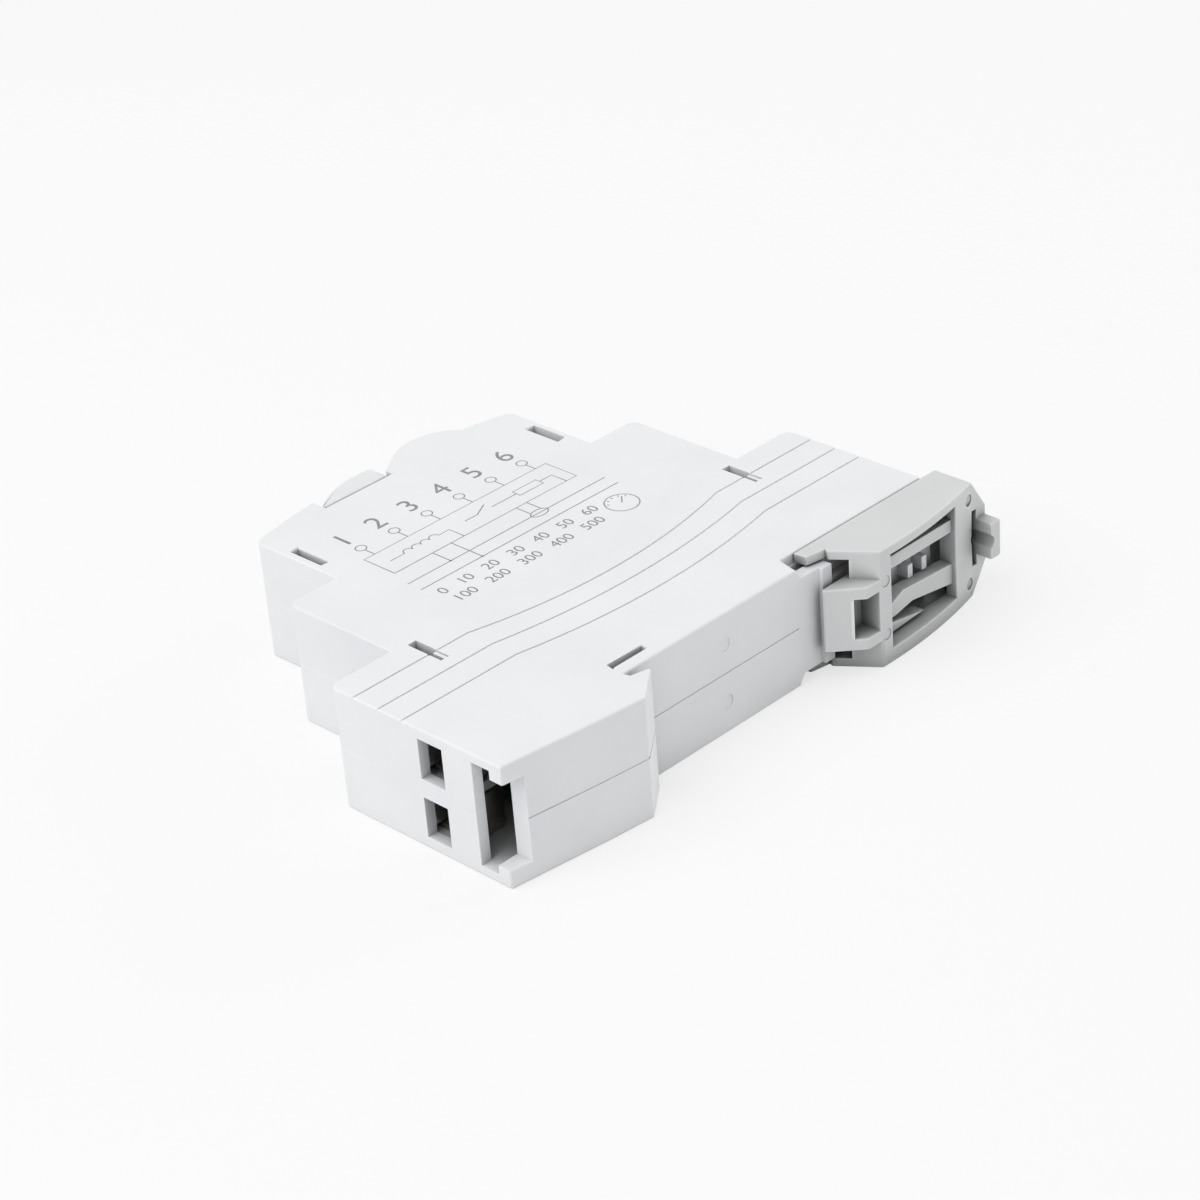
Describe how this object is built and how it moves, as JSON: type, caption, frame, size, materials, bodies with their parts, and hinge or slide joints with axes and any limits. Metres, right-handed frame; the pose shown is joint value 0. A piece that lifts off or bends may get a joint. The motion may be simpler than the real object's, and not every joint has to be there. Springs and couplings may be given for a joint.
{
  "type": "smart energy monitor",
  "caption": "Slim stepped rail-mounted energy monitor module with a sliding rail clip, a push key and screw clamp terminals behind wire entries in its ends.",
  "frame": {"origin": "on the lower side face, under the middle of the housing's length and of its depth from the nose corners to the rail seat", "axes": "+X to the near terminal end, -Y to the nose, +Y to the rail, +Z across the module, up from the side it lies on"},
  "size_m": [0.0944, 0.0765, 0.018],
  "materials": {
    "housing_white": "fine moulded texture",
    "clip_grey": "smooth moulded",
    "clear_smoke": "polished, translucent",
    "lamp_lens": "clear cast",
    "board_green": "solder mask",
    "board_blue": "solder mask",
    "chip_black": "moulded resin",
    "ivory_plastic": "moulded",
    "tin_plate": "bright tin",
    "sleeve_dark": "shrink sleeve",
    "film_yellow": "moulded box",
    "ferrite": "sintered",
    "varistor_blue": "dipped coat",
    "resistor_coat": "dipped coat",
    "zinc_steel": "zinc plated",
    "clamp_brass": "stamped, nickel plated"
  },
  "bodies": {
    "housing": {"housing_lower": "housing_white", "housing_upper": "housing_white", "light_pipe": "clear_smoke", "status_lamp": "lamp_lens", "main_board": "board_green", "tact_switch": "chip_black", "radio_board": "board_blue", "radio_can": "tin_plate", "metering_chip": "chip_black", "power_chip": "chip_black", "crystal": "tin_plate", "bridge_rectifier": "chip_black", "input_capacitor": "sleeve_dark", "output_capacitor": "sleeve_dark", "film_capacitor": "film_yellow", "inductor": "ferrite", "varistor": "varistor_blue", "fuse_resistor": "resistor_coat", "terminal_bar_1": "tin_plate", "terminal_bar_2": "tin_plate", "terminal_bar_3": "tin_plate", "terminal_bar_4": "tin_plate", "terminal_bar_5": "tin_plate", "terminal_bar_6": "tin_plate"},
    "clip": {"rail_clip": "clip_grey"},
    "key": {"push_key": "clear_smoke"},
    "plunger": {"tact_plunger": "ivory_plastic"},
    "screw_1": {"terminal_screw_1": "zinc_steel"},
    "cage_1": {"terminal_cage_1": "clamp_brass"},
    "screw_2": {"terminal_screw_2": "zinc_steel"},
    "cage_2": {"terminal_cage_2": "clamp_brass"},
    "screw_3": {"terminal_screw_3": "zinc_steel"},
    "cage_3": {"terminal_cage_3": "clamp_brass"},
    "screw_4": {"terminal_screw_4": "zinc_steel"},
    "cage_4": {"terminal_cage_4": "clamp_brass"},
    "screw_5": {"terminal_screw_5": "zinc_steel"},
    "cage_5": {"terminal_cage_5": "clamp_brass"},
    "screw_6": {"terminal_screw_6": "zinc_steel"},
    "cage_6": {"terminal_cage_6": "clamp_brass"}
  },
  "joints": [
    {"name": "clip_slide", "type": "slide", "parent": "housing", "child": "clip", "axis": [1, 0, 0], "range_m": [0, 0.0022]},
    {"name": "key_press", "type": "slide", "parent": "housing", "child": "key", "axis": [0, 1, 0], "range_m": [0, 0.0008], "stiffness_N_per_m": 1500},
    {"name": "plunger_press", "type": "slide", "parent": "housing", "child": "plunger", "axis": [0, 1, 0], "range_m": [0, 0.0008]},
    {"name": "screw_1_turn", "type": "hinge", "parent": "housing", "child": "screw_1", "pos_m": [0.03875, 0.013, 0.00465], "axis": [0, 1, 0], "range_deg": [0, 3168]},
    {"name": "cage_1_rise", "type": "slide", "parent": "housing", "child": "cage_1", "axis": [0, -1, 0], "range_m": [0, 0.0044]},
    {"name": "screw_2_turn", "type": "hinge", "parent": "housing", "child": "screw_2", "pos_m": [0.03875, 0.013, 0.01335], "axis": [0, 1, 0], "range_deg": [0, 3168]},
    {"name": "cage_2_rise", "type": "slide", "parent": "housing", "child": "cage_2", "axis": [0, -1, 0], "range_m": [0, 0.0044]},
    {"name": "screw_3_turn", "type": "hinge", "parent": "housing", "child": "screw_3", "pos_m": [-0.03875, 0.013, 0.00465], "axis": [0, 1, 0], "range_deg": [0, 3168]},
    {"name": "cage_3_rise", "type": "slide", "parent": "housing", "child": "cage_3", "axis": [0, -1, 0], "range_m": [0, 0.0044]},
    {"name": "screw_4_turn", "type": "hinge", "parent": "housing", "child": "screw_4", "pos_m": [-0.03875, 0.013, 0.01335], "axis": [0, 1, 0], "range_deg": [0, 3168]},
    {"name": "cage_4_rise", "type": "slide", "parent": "housing", "child": "cage_4", "axis": [0, -1, 0], "range_m": [0, 0.0044]},
    {"name": "screw_5_turn", "type": "hinge", "parent": "housing", "child": "screw_5", "pos_m": [-0.0279, -0.0115, 0.00465], "axis": [0, 1, 0], "range_deg": [0, 3168]},
    {"name": "cage_5_rise", "type": "slide", "parent": "housing", "child": "cage_5", "axis": [0, -1, 0], "range_m": [0, 0.0044]},
    {"name": "screw_6_turn", "type": "hinge", "parent": "housing", "child": "screw_6", "pos_m": [-0.0279, -0.0115, 0.01335], "axis": [0, 1, 0], "range_deg": [0, 3168]},
    {"name": "cage_6_rise", "type": "slide", "parent": "housing", "child": "cage_6", "axis": [0, -1, 0], "range_m": [0, 0.0044]}
  ],
  "couplings": [
    {"joint": "plunger_press", "follows": "key_press", "ratio": 1},
    {"joint": "screw_1_turn", "follows": "cage_1_rise", "rad_per_m": 12566},
    {"joint": "screw_2_turn", "follows": "cage_2_rise", "rad_per_m": 12566},
    {"joint": "screw_3_turn", "follows": "cage_3_rise", "rad_per_m": 12566},
    {"joint": "screw_4_turn", "follows": "cage_4_rise", "rad_per_m": 12566},
    {"joint": "screw_5_turn", "follows": "cage_5_rise", "rad_per_m": 12566},
    {"joint": "screw_6_turn", "follows": "cage_6_rise", "rad_per_m": 12566}
  ]
}
